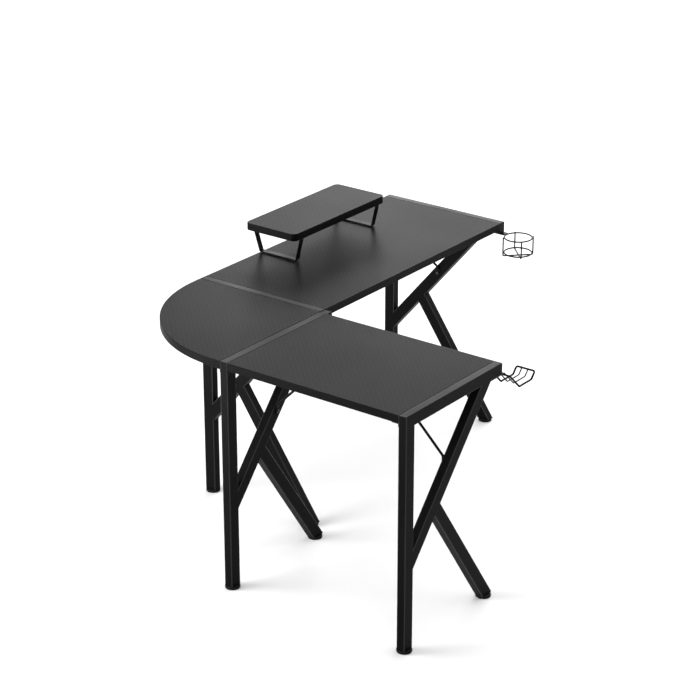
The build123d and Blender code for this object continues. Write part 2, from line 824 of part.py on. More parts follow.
# ---------------------------------------------------------------- hook rack
hook_seat_z = beam_bottom - hook_seat_drop
hook_rear_z = beam_bottom - cup_plate_thickness - hook_wire_radius + weld
hook_profile = [
    (hook_rear_reach, hook_rear_z),
    (hook_seat_reach, hook_seat_z),
    (hook_seat_reach + hook_seat_length, hook_seat_z),
    (hook_seat_reach + hook_seat_length + hook_lip_reach, hook_seat_z + hook_lip_rise),
]
hook_near_y = hook_axis_y - hook_width / 2
hook_far_y = hook_axis_y + hook_width / 2
near_side = [(corner_x + x, hook_near_y, z) for x, z in hook_profile]
far_side = [(corner_x + x, hook_far_y, z) for x, z in reversed(hook_profile)]

with BuildPart() as hook_plate:
    plate_start = corner_x - hook_plate_inboard
    plate_tip = corner_x + hook_rear_reach + hook_wire_radius
    with BuildSketch(Plane.XY.offset(plate_bottom)):
        with Locations(((plate_start + plate_tip) / 2, hook_axis_y)):
            Rectangle(plate_tip - plate_start, hook_plate_width)
    extrude(amount=cup_plate_thickness)
    with Locations(*[(x, y, beam_bottom) for x, y in hook_bolt_points]):
        Hole(bolt_hole_radius, depth=cup_plate_thickness)

with BuildPart() as hook_outer_wire:
    with BuildLine() as loop:
        FilletPolyline(*near_side, *far_side, radius=hook_bend, close=True)
    with BuildSketch(Plane(origin=loop.line @ 0, z_dir=loop.line % 0)):
        Circle(hook_wire_radius)
    sweep(path=loop.line)

# the thin wires lie on the inner side of the thick one, touching it at the rear and at the lip
thin_offset = hook_wire_radius + hook_thin_radius - weld
hook_angles = [
    degrees(atan2(b[1] - a[1], b[0] - a[0])) for a, b in zip(hook_profile, hook_profile[1:])
]
inner_lines = [
    (shifted(point, angle + 90, thin_offset), angle) for point, angle in zip(hook_profile, hook_angles)
]
lip_end = shifted(hook_profile[-1], hook_angles[-1] + 90, thin_offset)
inner_profile = [
    inner_lines[0][0],
    meet(*inner_lines[0], *inner_lines[1]),
    meet(*inner_lines[1], *inner_lines[2]),
    lip_end,
]
with BuildPart() as hook_inner_wires:
    for share in (1 / 3, 2 / 3):
        wire_y = hook_near_y + share * hook_width
        with BuildLine() as wire_path:
            FilletPolyline(*[(corner_x + x, wire_y, z) for x, z in inner_profile], radius=hook_bend)
        with BuildSketch(Plane(origin=wire_path.line @ 0, z_dir=wire_path.line % 0)):
            Circle(hook_thin_radius)
        sweep(path=wire_path.line)

# ---------------------------------------------------------------- labels and files
pieces = {
    "main_board": main_board,
    "main_board_edging": main_board_edging,
    "corner_board": corner_board,
    "corner_board_edging": corner_board_edging,
    "return_board": return_board,
    "return_board_edging": return_board_edging,
    "shelf_board": shelf_board,
    "shelf_edging": shelf_edging,
    **frame_parts,
    **struts,
    **shelf_supports,
    "beam_end_caps": beam_end_caps,
    "board_ledges": board_ledges,
    "main_rail": main_rail,
    "return_rail": return_rail,
    "rail_end_caps": rail_end_caps,
    "corner_gusset": corner_gusset,
    "m6_bolts": m6_bolts,
    "weld_nuts": weld_nuts,
    "ledge_screws": ledge_screws,
    "rail_screws": rail_screws,
    "foot_inserts": foot_inserts,
    "shelf_pads": shelf_pads,
    "shelf_screws": shelf_screws,
    "cup_holder_plate": cup_holder_plate,
    "cup_holder_rings": cup_holder_rings,
    "cup_holder_cradle": cup_holder_cradle,
    "hook_plate": hook_plate,
    "hook_outer_wire": hook_outer_wire,
    "hook_inner_wires": hook_inner_wires,
}
for place, (foot_x, foot_y) in feet_places.items():
    pieces[f"foot_{place}"] = levelling_foot(foot_x, foot_y)

for label, piece in pieces.items():
    piece.part.label = label
    export_step(piece.part, f"parts/{label}.step")
print(len(pieces), "nodes, inner corner of the L at", round(corner_x, 2), round(corner_y, 2))
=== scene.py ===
import json
from math import cos, copysign, hypot, pi, radians, sin, sqrt, tan, tau

import bmesh
import bpy
from mathutils import Matrix, Vector


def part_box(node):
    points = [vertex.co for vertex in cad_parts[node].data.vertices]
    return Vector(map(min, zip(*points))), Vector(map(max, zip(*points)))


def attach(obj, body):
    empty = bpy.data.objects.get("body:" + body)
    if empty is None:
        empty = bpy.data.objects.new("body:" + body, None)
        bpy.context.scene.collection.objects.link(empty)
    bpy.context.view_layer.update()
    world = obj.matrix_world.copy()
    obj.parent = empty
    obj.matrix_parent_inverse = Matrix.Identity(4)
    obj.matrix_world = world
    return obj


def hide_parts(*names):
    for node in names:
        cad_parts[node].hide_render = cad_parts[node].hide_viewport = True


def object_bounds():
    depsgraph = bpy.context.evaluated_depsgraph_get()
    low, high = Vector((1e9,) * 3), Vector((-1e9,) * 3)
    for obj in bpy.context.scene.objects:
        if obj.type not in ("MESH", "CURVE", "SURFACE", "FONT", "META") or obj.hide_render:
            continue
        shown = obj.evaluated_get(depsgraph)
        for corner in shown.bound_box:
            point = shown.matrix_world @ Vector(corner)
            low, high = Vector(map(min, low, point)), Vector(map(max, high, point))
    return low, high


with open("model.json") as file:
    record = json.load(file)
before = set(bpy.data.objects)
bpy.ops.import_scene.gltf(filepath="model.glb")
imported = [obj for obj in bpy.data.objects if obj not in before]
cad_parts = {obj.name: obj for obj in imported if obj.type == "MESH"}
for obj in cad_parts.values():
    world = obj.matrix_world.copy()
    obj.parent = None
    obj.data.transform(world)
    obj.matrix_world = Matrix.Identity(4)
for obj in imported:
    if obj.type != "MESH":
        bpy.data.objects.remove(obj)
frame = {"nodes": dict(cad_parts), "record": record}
cad_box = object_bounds()

MM = 0.001
UP = Vector((0, 0, 1))
FRAME_NAMES = ("main_end", "corner_main", "corner_return", "return_end")

# ---------------------------------------------------------------- places, read from the frame
corner_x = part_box("corner_main_beam")[0].x        # the inner corner of the L
corner_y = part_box("corner_return_beam")[1].y
top_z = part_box("main_board")[1].z
tube_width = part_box("corner_main_leg")[1].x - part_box("corner_main_leg")[0].x
beam_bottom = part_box("corner_main_beam")[0].z


class EndFrame:
    """Axes of one end frame: s runs from its outer end inwards, t across it towards its strut, z up."""

    def __init__(self, name):
        self.name = name
        low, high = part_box(f"{name}_leg")
        strut_low, strut_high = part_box(f"{name}_strut")
        centre = (low + high) / 2
        strut_centre = (strut_low + strut_high) / 2
        if name in ("main_end", "corner_main"):
            self.along = Vector((0, -1, 0))
            self.origin = Vector((centre.x, high.y, 0))
            self.across = Vector((1 if strut_centre.x > centre.x else -1, 0, 0))
        else:
            self.along = Vector((1, 0, 0))
            self.origin = Vector((low.x, centre.y, 0))
            self.across = Vector((0, 1 if strut_centre.y > centre.y else -1, 0))

    def point(self, s, t, z):
        """A point of these axes in the shared frame."""
        return self.origin + self.along * s + self.across * t + UP * z

    def extent(self, node):
        """(lowest s, t, z), (highest s, t, z) of a node's box."""
        ends = []
        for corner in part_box(node):
            away = corner - self.origin
            ends.append((away.dot(self.along), away.dot(self.across), corner.z))
        return [tuple(pick(values) for values in zip(*ends)) for pick in (min, max)]


end_frames = {name: EndFrame(name) for name in FRAME_NAMES}


# ---------------------------------------------------------------- material building
class Graph:
    """A short way to write a material's node graph."""

    def __init__(self, name):
        self.material = bpy.data.materials.new(name)
        self.material.use_nodes = True
        self.tree = self.material.node_tree
        self.shader = self.tree.nodes["Principled BSDF"]
        self.position = self.node("ShaderNodeTexCoord").outputs["Object"]

    def node(self, kind, **settings):
        made = self.tree.nodes.new(kind)
        for key, value in settings.items():
            setattr(made, key, value)
        return made

    def feed(self, socket, value):
        """Link an output to a socket, or set the socket's value; None leaves it alone."""
        if isinstance(value, bpy.types.NodeSocket):
            self.tree.links.new(value, socket)
        elif value is not None:
            socket.default_value = value

    def math(self, operation, a, b=None, c=None):
        made = self.node("ShaderNodeMath", operation=operation)
        for socket, value in zip(made.inputs, (a, b, c)):
            self.feed(socket, value)
        return made.outputs[0]

    def scaled(self, vector, factors):
        """The vector with x, y and z multiplied by the three factors."""
        made = self.node("ShaderNodeVectorMath", operation="MULTIPLY")
        self.feed(made.inputs[0], vector)
        made.inputs[1].default_value = factors
        return made.outputs[0]

    def noise(self, scale, detail=3.0, roughness=0.55, stretch=(1, 1, 1)):
        """Noise with about scale features a metre; a factor below 1 in stretch draws them out that way."""
        made = self.node("ShaderNodeTexNoise")
        self.feed(made.inputs["Vector"], self.scaled(self.position, stretch))
        made.inputs["Scale"].default_value = scale
        made.inputs["Detail"].default_value = detail
        made.inputs["Roughness"].default_value = roughness
        return made.outputs["Fac"]

    def span(self, value, low, high, out_low, out_high):
        """The value taken from low to high onto out_low to out_high, and held there outside."""
        made = self.node("ShaderNodeMapRange")
        for socket, number in zip(made.inputs, (value, low, high, out_low, out_high)):
            self.feed(socket, number)
        return made.outputs[0]

    def mix(self, share, a, b):
        """From number a to number b."""
        made = self.node("ShaderNodeMix", data_type="FLOAT")
        for socket, value in zip(made.inputs[0:1] + made.inputs[2:4], (share, a, b)):
            self.feed(socket, value)
        return made.outputs[0]

    def mix_colour(self, share, a, b):
        """From colour a to colour b."""
        made = self.node("ShaderNodeMix", data_type="RGBA")
        for socket, value in zip(made.inputs[0:1] + made.inputs[6:8], (share, a, b)):
            self.feed(socket, value)
        return made.outputs[2]

    def split(self, vector):
        made = self.node("ShaderNodeSeparateXYZ")
        self.feed(made.inputs[0], vector)
        return made.outputs

    def bump(self, height, distance, strength, below=None):
        """A normal for relief of the given depth in metres, on top of the normal below."""
        made = self.node("ShaderNodeBump")
        self.feed(made.inputs["Height"], height)
        made.inputs["Distance"].default_value = distance
        made.inputs["Strength"].default_value = strength
        if below is not None:
            self.feed(made.inputs["Normal"], below)
        return made.outputs[0]

    def surface(self, colour, roughness, normal=None, **fixed):
        """Finish the material; fixed names other inputs, with _ for a space."""
        self.feed(self.shader.inputs["Base Color"], colour)
        self.feed(self.shader.inputs["Roughness"], roughness)
        self.feed(self.shader.inputs["Normal"], normal)
        for key, value in fixed.items():
            self.shader.inputs[key.replace("_", " ")].default_value = value
        return self.material


def grey(level, blue=0.0):
    """A linear grey, with its blue raised by a share."""
    return (level, level, level * (1 + blue), 1)


def carbon_laminate():
    """Satin laminate printed and embossed as a two-by-two carbon twill, plain black underneath."""
    g = Graph("carbon_laminate")
    tow, repeat = 2.37 * MM, 4
    warp_tone, weft_tone = 1.32, 0.74
    x, y, _ = g.split(g.scaled(g.position, (1 / tow, 1 / tow, 1 / tow)))
    column, row = g.math("FLOOR", x), g.math("FLOOR", y)
    diagonal = g.math("SUBTRACT", column, row)
    warp_over = g.math("LESS_THAN", g.math("FLOORED_MODULO", diagonal, repeat), 1.5)
    # place along the float of the tow on top, 0 to 1, and across it, -1 to 1
    warp_along = g.math("DIVIDE", g.math("FLOORED_MODULO", g.math("SUBTRACT", x, row), repeat), 2)
    weft_turn = g.math("FLOORED_MODULO", g.math("SUBTRACT", column, y), repeat)
    weft_along = g.math("DIVIDE", g.math("SUBTRACT", weft_turn, 1), 2)
    warp_across = g.math("SUBTRACT", g.math("MULTIPLY", g.math("FRACT", y), 2), 1)
    weft_across = g.math("SUBTRACT", g.math("MULTIPLY", g.math("FRACT", x), 2), 1)

    def on_top(warp, weft):
        return g.mix(warp_over, weft, warp)

    across = on_top(warp_across, weft_across)
    along = on_top(warp_along, weft_along)
    crown = g.math("SUBTRACT", 1, g.math("MULTIPLY", across, across))
    arch = g.math("SINE", g.math("MULTIPLY", along, pi))
    height = g.math("MULTIPLY", g.math("POWER", crown, 0.6), g.math("MULTIPLY_ADD", arch, 0.6, 0.4))
    # fibres, drawn out along whichever tow is on top
    drawn_out = 0.06
    warp_fibre = g.noise(1400, 2, 0.6, (drawn_out, 1, 1))
    weft_fibre = g.noise(1400, 2, 0.6, (1, drawn_out, 1))
    fibre = on_top(warp_fibre, weft_fibre)
    # every other diagonal of the print is a shade deeper
    deeper = g.math("LESS_THAN", g.math("FLOORED_MODULO", diagonal, 2 * repeat), 3.5)
    cloud = g.noise(3.0, 3)
    tone = g.span(height, 0, 1, 0.55, 1.08)
    tone = g.math("MULTIPLY", tone, on_top(warp_tone, weft_tone))
    tone = g.math("MULTIPLY", tone, g.math("MULTIPLY_ADD", deeper, 0.16, 0.92))
    tone = g.math("MULTIPLY", tone, g.span(fibre, 0.3, 0.7, 0.82, 1.16))
    tone = g.math("MULTIPLY", tone, g.span(cloud, 0.3, 0.7, 0.95, 1.05))
    shade = g.node("ShaderNodeVectorMath", operation="SCALE")
    shade.inputs[0].default_value = (0.0120, 0.0122, 0.0125)
    g.feed(shade.inputs["Scale"], tone)
    # the print is on the upper face only
    facing = g.split(g.node("ShaderNodeNewGeometry").outputs["True Normal"])[2]
    upper = g.math("GREATER_THAN", facing, 0.5)
    speck = g.noise(900, 2)
    backing = g.mix_colour(g.span(speck, 0.4, 0.65, 0, 1), grey(0.014), grey(0.024))
    colour = g.mix_colour(upper, backing, shade.outputs[0])
    backing_rough = 0.6
    print_rough = g.math("ADD", g.span(fibre, 0.3, 0.7, 0.36, 0.44), g.span(cloud, 0.3, 0.7, -0.02, 0.03))
    rough = g.math("MULTIPLY_ADD", g.math("SUBTRACT", print_rough, backing_rough), upper, backing_rough)
    relief = g.math("MULTIPLY", g.math("MULTIPLY_ADD", fibre, 0.18, height), upper)
    fine = g.bump(speck, 0.00003, 0.35)
    return g.surface(colour, rough, g.bump(relief, 0.00012, 0.35, fine), Specular_IOR_Level=0.0098)


def edge_band():
    """Black ABS edge band with a fine pebbled face and faint streaks along its length."""
    g = Graph("edge_band")
    pebble = g.noise(1500, 2, 0.5)
    draw = g.noise(60, 4, 0.6, (1, 1, 14))
    colour = g.mix_colour(g.span(draw, 0.35, 0.65, 0, 1), grey(0.002), grey(0.0035, 0.04))
    rough = g.span(draw, 0.3, 0.7, 0.34, 0.44)
    return g.surface(colour, rough, g.bump(pebble, 0.00006, 0.4), Specular_IOR_Level=0.022)


def powder_coat(name, level, rough_low, rough_high, peel=0.00008, specular=0.1):
    """Black powder coat: orange peel, a faint grain, slow changes of gloss, lighter where handled."""
    g = Graph(name)
    orange = g.noise(420, 2, 0.45)
    grain = g.noise(2600, 2, 0.6)
    drift = g.noise(5, 4, 0.6)
    rub = g.noise(38, 5, 0.7)
    darker, lighter, handled = grey(level * 0.86), grey(level * 1.12, 0.03), grey(level * 2.1)
    colour = g.mix_colour(g.span(drift, 0.35, 0.65, 0, 1), darker, lighter)
    colour = g.mix_colour(g.span(rub, 0.66, 0.8, 0, 0.35), colour, handled)
    rough = g.span(drift, 0.3, 0.7, rough_low, rough_high)
    rough = g.math("ADD", rough, g.span(grain, 0.3, 0.7, -0.03, 0.03))
    rough = g.math("ADD", rough, g.span(rub, 0.62, 0.8, 0, 0.08))
    relief = g.bump(grain, 0.00002, 0.3)
    return g.surface(colour, rough, g.bump(orange, peel, 0.3, relief), Specular_IOR_Level=specular)


def moulded_plastic():
    """Matte black moulded plastic with a spark-eroded texture."""
    g = Graph("black_plastic")
    spark = g.noise(1900, 3, 0.65)
    flow = g.noise(26, 3, 0.55)
    colour = g.mix_colour(g.span(flow, 0.35, 0.65, 0, 1), grey(0.0045), grey(0.008))
    rough = g.math("ADD", g.span(flow, 0.3, 0.7, 0.5, 0.6), g.span(spark, 0.3, 0.7, -0.05, 0.05))
    return g.surface(colour, rough, g.bump(spark, 0.00007, 0.5), Specular_IOR_Level=0.05)


def rubber():
    """Dull black rubber with a dusty bloom."""
    g = Graph("rubber_pad")
    bloom = g.noise(70, 4, 0.65)
    pore = g.noise(1300, 2, 0.6)
    colour = g.mix_colour(g.span(bloom, 0.4, 0.7, 0, 1), grey(0.014), grey(0.032))
    rough = g.span(bloom, 0.3, 0.7, 0.72, 0.86)
    return g.surface(colour, rough, g.bump(pore, 0.00008, 0.5), Specular_IOR_Level=0.3)


def black_zinc():
    """Black-plated steel: dark metal with tool marks and paler, rubbed patches."""
    g = Graph("black_fastener")
    mark = g.noise(900, 3, 0.6, (1, 1, 0.15))
    worn = g.noise(240, 4, 0.7)
    colour = g.mix_colour(g.span(worn, 0.55, 0.75, 0, 1), grey(0.035, 0.06), grey(0.11, 0.02))
    rough = g.math("ADD", g.span(mark, 0.3, 0.7, 0.3, 0.42), g.span(worn, 0.3, 0.7, -0.04, 0.06))
    return g.surface(colour, rough, g.bump(mark, 0.00003, 0.35), Metallic=0.85)


materials = {
    "carbon_laminate": carbon_laminate(),
    "edge_band": edge_band(),
    "frame_steel": powder_coat("frame_steel", 0.0022, 0.35, 0.45, specular=0.027),
    "bracket_steel": powder_coat("bracket_steel", 0.003, 0.4, 0.5, specular=0.035),
    "coated_wire": powder_coat("coated_wire", 0.002, 0.3, 0.4, peel=0.00004, specular=0.03),
    "black_fastener": black_zinc(),
    "black_plastic": moulded_plastic(),
    "rubber_pad": rubber(),
}

# painted highlight: a tube's rounded corners get a lighter, shinier copy of the powder coat, standing in for
# the light caught along the edges
corner_highlight_coat = powder_coat("frame_steel_corner_highlight", 0.005, 0.3, 0.4, specular=0.26)

for subpart in frame["record"]["subparts"]:
    node = frame["nodes"][subpart["node"]]
    node.data.materials.clear()
    node.data.materials.append(materials[subpart["material_slot"]])

# widths of the eased edges of some CAD parts that are shown as they are
EASED_EDGES = {
    "main_rail": 1.4 * MM,
    "return_rail": 1.4 * MM,
    "corner_gusset": 0.6 * MM,
    "shelf_pads": 0.5 * MM,
}
for node_name, width in EASED_EDGES.items():
    ease = frame["nodes"][node_name].modifiers.new("eased_edges", "BEVEL")
    ease.width = width
    ease.segments = 3
    ease.limit_method = "ANGLE"
    ease.angle_limit = radians(50)


# ---------------------------------------------------------------- mesh building
def piece(name, bm, slot, body="desk", nodes=(), sharp=38):
    """A bmesh made into a shown piece: shading that keeps flat faces flat, material, body and nodes."""
    bmesh.ops.recalc_face_normals(bm, faces=bm.faces)
    mesh = bpy.data.meshes.new(name)
    bm.to_mesh(mesh)
    bm.free()
    mesh.shade_smooth()
    mesh.set_sharp_from_angle(angle=radians(sharp))
    mesh.materials.append(materials[slot])
    made = bpy.data.objects.new(name, mesh)
    bpy.context.scene.collection.objects.link(made)
    weighted = made.modifiers.new("flat_faces", "WEIGHTED_NORMAL")
    weighted.weight = 100
    weighted.keep_sharp = True
    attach(made, body)
    if nodes:
        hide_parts(*nodes)
    return made


def skin(bm, rings, closed=False):
    """Quads between neighbouring rings of points, with the two ends capped unless the rings close up."""
    rows = [[bm.verts.new(point) for point in ring] for ring in rings]
    count = len(rows[0])
    pairs = list(zip(rows, rows[1:]))
    if closed:
        pairs.append((rows[-1], rows[0]))
    for low, high in pairs:
        for i in range(count):
            j = (i + 1) % count
            bm.faces.new((low[i], low[j], high[j], high[i]))
    if not closed:
        bm.faces.new(rows[0])
        bm.faces.new(rows[-1])


def rounded(points, bend, closed=False):
    """The polyline with each corner turned into an arc of radius bend."""
    steps = 7
    made = []
    for i, corner in enumerate(points):
        if not closed and i in (0, len(points) - 1):
            made.append(corner)
            continue
        back = (points[i - 1] - corner).normalized()
        on = (points[(i + 1) % len(points)] - corner).normalized()
        half = back.angle(on) / 2
        centre = corner + (back + on).normalized() * (bend / sin(half))
        first = corner + back * (bend / tan(half)) - centre
        last = corner + on * (bend / tan(half)) - centre
        made += [centre + first.slerp(last, k / steps) * bend for k in range(steps + 1)]
    return made


def wire(bm, path, radius, closed=False, sides=16):
    """Round wire along a path, its ends a little domed."""
    count = len(path)
    rings = []
    side = None
    for i, point in enumerate(path):
        before = path[i - 1] if closed or i else point
        after = path[(i + 1) % count] if closed or i < count - 1 else point
        run = (after - before).normalized()
        if side is None:
            side = run.orthogonal().normalized()
        side = (side - run * side.dot(run)).normalized()
        other = run.cross(side)
        turns = [tau * k / sides for k in range(sides)]
        rings.append([point + (side * cos(turn) + other * sin(turn)) * radius for turn in turns])
    if not closed:
        first_run = (path[1] - path[0]).normalized()
        last_run = (path[-1] - path[-2]).normalized()
        dome_width, dome_height = 0.72, radius * 0.35
        first_dome = [path[0] + (p - path[0]) * dome_width - first_run * dome_height for p in rings[0]]
        last_dome = [path[-1] + (p - path[-1]) * dome_width + last_run * dome_height for p in rings[-1]]
        rings = [first_dome, *rings, last_dome]
    skin(bm, rings, closed)


def turned(bm, profile, place, segments):
    """A turned shape about local Z. Profile is (radius, z) or (radius, z, outline name) in metres."""
    rings = []
    for radius, z, *shape in profile:
        ring = []
        for k in range(segments):
            turn = tau * k / segments
            reach = radius * (outline_share(shape[0], turn) if shape else 1)
            ring.append(place @ Vector((reach * cos(turn), reach * sin(turn), z)))
        rings.append(ring)
    skin(bm, rings)


def outline_share(shape, turn):
    """How far a driver recess, hexagon or cross, reaches in a direction, as a share of its radius."""
    if shape == "hex":
        return cos(pi / 6) / cos((turn % (pi / 3)) - pi / 6)
    inner_corner = 0.42
    return inner_corner + (1 - inner_corner) * abs(cos(2 * turn)) ** 3


def solids(node):
    """(low corner, high corner, mean of the points) of each separate solid in a CAD node."""
    bm = bmesh.new()
    bm.from_mesh(frame["nodes"][node].data)
    bmesh.ops.remove_doubles(bm, verts=bm.verts, dist=1e-6)
    unseen = set(bm.verts)
    found = []
    while unseen:
        waiting = [unseen.pop()]
        points = []
        while waiting:
            vertex = waiting.pop()
            points.append(vertex.co.copy())
            for edge in vertex.link_edges:
                other = edge.other_vert(vertex)
                if other in unseen:
                    unseen.remove(other)
                    waiting.append(other)
        low = Vector([min(p[i] for p in points) for i in range(3)])
        high = Vector([max(p[i] for p in points) for i in range(3)])
        found.append((low, high, sum(points, Vector()) / len(points)))
    bm.free()
    return sorted(found, key=lambda box: tuple(round(v, 5) for v in box[0]))


def plate(bm, outline, low_z, high_z):
    """A flat plate of the given outline with softened edges."""
    soften = 0.6 * MM
    count = len(outline)
    centre = sum(outline, Vector((0, 0))) / count

    def ring(inset, z):
        made = []
        for i, point in enumerate(outline):
            back = (outline[i - 1] - point).normalized()
            on = (outline[(i + 1) % count] - point).normalized()
            inwards = back + on
            if inwards.length < 1e-4:
                inwards = Vector((-on.y, on.x))
            inwards.normalize()
            if inwards.dot(centre - point) < 0:
                inwards = -inwards
            moved = point + inwards * inset
            made.append(Vector((moved.x, moved.y, z)))
        return made

    lower = [ring(soften, low_z), ring(0, low_z + soften)]
    upper = [ring(0, high_z - soften), ring(soften, high_z)]
    skin(bm, lower + upper)


def rounded_rectangle(half_a, half_b, radius):
    """Points of a rounded rectangle about the origin, anticlockwise."""
    steps = 4
    points = []
    for quarter, (sa, sb) in enumerate(((1, 1), (-1, 1), (-1, -1), (1, -1))):
        for k in range(steps + 1):
            turn = (quarter + k / steps) * pi / 2
            points.append((
                sa * (half_a - radius) + radius * cos(turn),
                sb * (half_b - radius) + radius * sin(turn),
            ))
    return points


def matrix_to(place, facing, sideways=None):
    """A matrix that puts local Z along facing, and local X along sideways if it is given."""
    z = Vector(facing).normalized()
    x = Vector(sideways) if sideways is not None else z.orthogonal()
    x = (x - z * x.dot(z)).normalized()
    turn = Matrix((x, z.cross(x), z)).transposed().to_4x4()
    return Matrix.Translation(place) @ turn


# ---------------------------------------------------------------- welded end frames
TUBE_ROUND = 2.2 * MM
TUBE_WALL = 1.5 * MM
# the second slot is the lighter corner coat, a painted highlight along the tube edges
FRAME_SLOT, CORNER_HIGHLIGHT_SLOT = 0, 1    # material slots of a frame's mesh


def frame_corners(axes):
    """The corners of a K-shaped frame in its own plane, as name: (s, z)."""
    leg_low, leg_high = axes.extent(f"{axes.name}_leg")
    _, beam_high = axes.extent(f"{axes.name}_beam")
    brace_low, brace_high = axes.extent(f"{axes.name}_brace")
    _, foot_high = axes.extent(f"{axes.name}_foot_tube")
    depth = leg_high[0]
    low_z, brace_z = leg_low[2], brace_low[2]
    slope = (brace_high[2] - brace_z) / (brace_high[0] - depth)
    brace_top_z = brace_z + depth * hypot(1, slope)
    beam_meet = depth + (beam_bottom - brace_top_z) / slope
    fork_s = depth + (foot_high[2] - brace_z) / slope
    foot_slope = (foot_high[2] - low_z) / (foot_high[0] - fork_s)
    toe_in = foot_high[0] - depth * hypot(1, foot_slope) / foot_slope
    fork_low_s = (low_z + foot_slope * toe_in - brace_z + slope * depth) / (slope + foot_slope)
    fork_low_z = brace_z + slope * (fork_low_s - depth)
    return {
        "leg_a": (0, low_z), "leg_b": (depth, low_z),
        "left_a": (0, brace_z), "meet_a": (depth, brace_z),
        "left_b": (0, brace_top_z), "meet_b": (depth, brace_top_z),
        "left_c": (0, beam_bottom), "meet_c": (depth, beam_bottom),
        "top_a": (0, top_z), "top_b": (depth, top_z),
        "under_a": (beam_meet, beam_bottom), "over_a": (beam_meet, top_z),
        "under_b": (brace_high[0], beam_bottom), "over_b": (brace_high[0], top_z),
        "end_a": (beam_high[0], beam_bottom), "end_b": (beam_high[0], top_z),
        "fork_a": (fork_low_s, fork_low_z), "fork_b": (fork_s, foot_high[2]),
        "toe_a": (toe_in, low_z), "toe_b": (foot_high[0], low_z),
    }


# one side of a frame, divided where its tubes meet
FRAME_FACES = (
    ("leg_a", "leg_b", "meet_a", "left_a"),
    ("left_a", "meet_a", "meet_b", "left_b"),
    ("left_b", "meet_b", "meet_c", "left_c"),
    ("left_c", "meet_c", "top_b", "top_a"),
    ("meet_c", "under_a", "over_a", "top_b"),
    ("under_a", "under_b", "over_b", "over_a"),
    ("under_b", "end_a", "end_b", "over_b"),
    ("meet_a", "fork_a", "fork_b", "under_b", "under_a", "meet_b"),
    ("fork_a", "toe_a", "toe_b", "fork_b"),
)
# open ends of the tubes: the two corners of each, the corners that its axis runs towards, and its depth
TUBE_ENDS = (
    (("leg_a", "leg_b"), ("left_a", "meet_a"), 36 * MM),
    (("toe_a", "toe_b"), ("fork_a", "fork_b"), 36 * MM),
    (("end_a", "end_b"), ("under_b", "over_b"), 14 * MM),
)
# inside corners that are welded: the corner, and the corners that its two sides run towards
WELDS = (
    ("meet_a", "leg_b", "fork_a"), ("meet_b", "meet_c", "under_a"), ("meet_c", "meet_b", "under_a"),
    ("under_a", "meet_c", "meet_b"), ("under_b", "end_a", "fork_b"), ("fork_a", "meet_a", "toe_a"),
    ("fork_b", "toe_b", "under_b"),
)


def welded_frame(axes):
    """One end frame: four tubes welded flush, with rounded long edges in a lighter coat that paints their
    highlight, and open, walled ends.
    """
    corners = frame_corners(axes)
    half = tube_width / 2
    bm = bmesh.new()
    sides = {}
    for t in (-half, half):
        sides[t] = {name: bm.verts.new(axes.point(s, t, z)) for name, (s, z) in corners.items()}
    used = {}
    for names in FRAME_FACES:
        for t in sides:
            bm.faces.new([sides[t][name] for name in names])
        for a, b in zip(names, names[1:] + names[:1]):
            used[frozenset((a, b))] = used.get(frozenset((a, b)), 0) + 1
    end_pairs = [frozenset(end) for end, _, _ in TUBE_ENDS]
    long_edges = []
    end_faces = []
    for pair, times in used.items():
        if times > 1:
            continue
        a, b = sorted(pair)
        face = bm.faces.new((sides[-half][a], sides[-half][b], sides[half][b], sides[half][a]))
        if pair in end_pairs:
            end_faces.append((end_pairs.index(pair), face))
        else:
            long_edges += [bm.edges.get((sides[t][a], sides[t][b])) for t in sides]
    hollows = []
    for index, face in end_faces:
        (a, b), (c, d), depth = TUBE_ENDS[index]
        start = (sides[half][a].co + sides[half][b].co) / 2
        run = ((sides[half][c].co + sides[half][d].co) / 2 - start).normalized()
        hollows.append((face.calc_center_median(), run * depth))
    bmesh.ops.recalc_face_normals(bm, faces=bm.faces)
    # the rounded long edges take the lighter corner coat, a painted edge highlight
    bmesh.ops.bevel(
        bm, geom=long_edges, offset=TUBE_ROUND, segments=4, profile=0.5, affect="EDGES", clamp_overlap=True,
        material=CORNER_HIGHLIGHT_SLOT,
    )
    # the beam's upper corners keep the plain face material, without the painted edge highlight
    for face in bm.faces:
        if face.calc_center_median().z > top_z - TUBE_ROUND:
            face.material_index = FRAME_SLOT
    for centre, push in hollows:
        face = min(bm.faces, key=lambda f: (f.calc_center_median() - centre).length)
        bmesh.ops.inset_individual(bm, faces=[face], thickness=TUBE_WALL, use_even_offset=True)
        grown = bmesh.ops.extrude_discrete_faces(bm, faces=[face])["faces"]
        bmesh.ops.translate(bm, verts=grown[0].verts, vec=push)
    nodes = [f"{axes.name}_{tube}" for tube in ("leg", "beam", "brace", "foot_tube")]
    made = piece(f"{axes.name}_weldment", bm, "frame_steel", nodes=nodes)
    # the lighter corner coat that paints the edge highlight
    made.data.materials.append(corner_highlight_coat)


